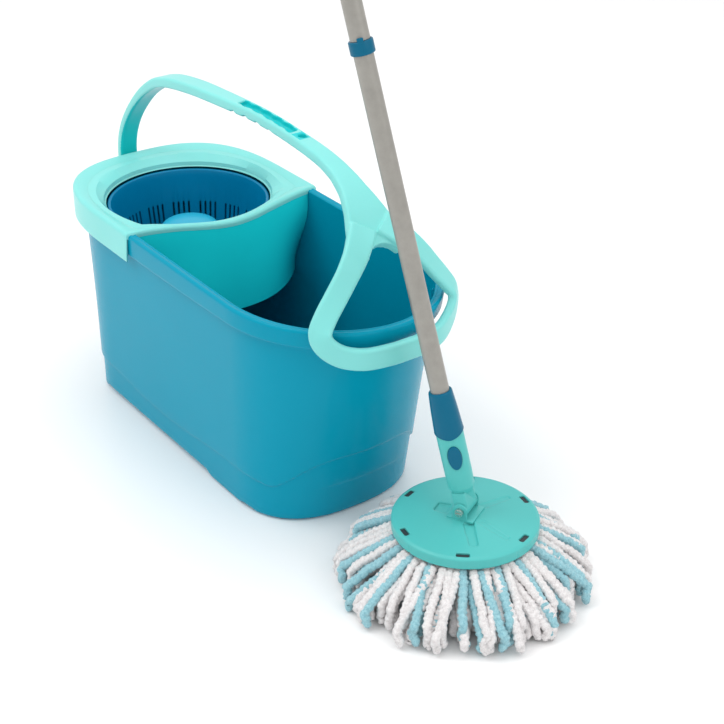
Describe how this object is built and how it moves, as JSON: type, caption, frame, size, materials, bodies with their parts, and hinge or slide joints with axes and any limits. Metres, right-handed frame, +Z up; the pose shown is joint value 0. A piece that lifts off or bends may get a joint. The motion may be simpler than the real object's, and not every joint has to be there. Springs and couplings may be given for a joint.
{
  "type": "spin mop",
  "caption": "Oval bucket with a spinning basket in one end under a splash collar, a swinging carry handle, and a round yarn mop on a jointed pole standing beside it.",
  "frame": {"origin": "on the floor under the middle of the bucket, on the bucket's plane of symmetry", "axes": "+Z up; +X along the bucket from the basket end to the pouring end, where the mop stands; Y across the bucket"},
  "size_m": [0.8588, 0.3043, 1.3426],
  "materials": {
    "bucket_blue": "smooth injection-moulded polypropylene, satin gloss",
    "mint": "smooth moulded polypropylene, satin gloss",
    "basket_blue": "smooth moulded polypropylene",
    "hub_blue": "smooth moulded polypropylene",
    "teal": "smooth moulded polypropylene, satin",
    "navy": "fine-grained moulded plastic",
    "grey_plastic": "moulded acetal",
    "dark_plastic": "moulded plastic",
    "bush_white": "acetal bearing plastic",
    "steel": "zinc-plated steel",
    "tube_grey": "powder-coated thin steel tube, satin warm grey",
    "yarn": "microfibre chenille yarn, white with pale blue strands"
  },
  "bodies": {
    "root": {"bucket_tub": "bucket_blue", "splash_collar": "mint", "center_post": "grey_plastic", "post_screws": "steel", "bearing_bush": "bush_white", "twist_spindle": "steel", "handle_bracket": "mint", "handle_pin": "steel", "bracket_screws": "steel"},
    "basket": {"spin_basket": "basket_blue"},
    "plunger": {"press_hub": "hub_blue", "stem_ring": "grey_plastic", "return_spring": "steel"},
    "nut": {"drive_nut": "bush_white"},
    "handle": {"carry_handle": "mint"},
    "mop_head": {"mop_plate": "teal", "yarn_carrier": "dark_plastic", "yarn_pad": "yarn", "joint_bracket": "teal", "hinge_bolt": "steel"},
    "pole": {"joint_socket": "teal", "tube_sleeve": "navy", "lower_tube": "tube_grey", "joint_ring_lower": "navy", "middle_tube": "tube_grey", "joint_ring_upper": "navy", "upper_tube": "tube_grey", "hand_grip": "navy", "end_cap": "navy", "button_spring": "steel"},
    "button": {"release_button": "navy"}
  },
  "joints": [
    {"name": "basket_spin", "type": "hinge", "parent": "root", "child": "basket", "pos_m": [-0.133, 0, 0.17], "axis": [0, 0, 1], "continuous": true},
    {"name": "hub_press", "type": "slide", "parent": "basket", "child": "plunger", "axis": [0, 0, -1], "range_m": [0, 0.038], "stiffness_N_per_m": 250, "springref_m": -0.01, "deforming": ["return_spring"]},
    {"name": "nut_turn", "type": "hinge", "parent": "plunger", "child": "nut", "pos_m": [-0.133, 0, 0.158], "axis": [0, 0, 1], "range_deg": [-137, 0]},
    {"name": "handle_swing", "type": "hinge", "parent": "root", "child": "handle", "pos_m": [-0.29, 0, 0.252], "axis": [0, -1, 0], "range_deg": [0, 105]},
    {"name": "mop_lift", "type": "slide", "parent": "root", "child": "mop_head", "axis": [0.5, 0, 0.866], "range_m": [0, 0.3]},
    {"name": "mop_tilt", "type": "hinge", "parent": "mop_head", "child": "pole", "pos_m": [0.41, 0.013, 0.097], "axis": [-0.4695, 0.8829, 0], "range_deg": [0, 85]},
    {"name": "button_press", "type": "slide", "parent": "pole", "child": "button", "axis": [-0.8162, 0.566, -0.116], "range_m": [0, 0.002], "stiffness_N_per_m": 400, "springref_m": -0.002, "deforming": ["button_spring"]}
  ],
  "couplings": [
    {"joint": "nut_turn", "follows": "hub_press", "rad_per_m": -62.832}
  ]
}
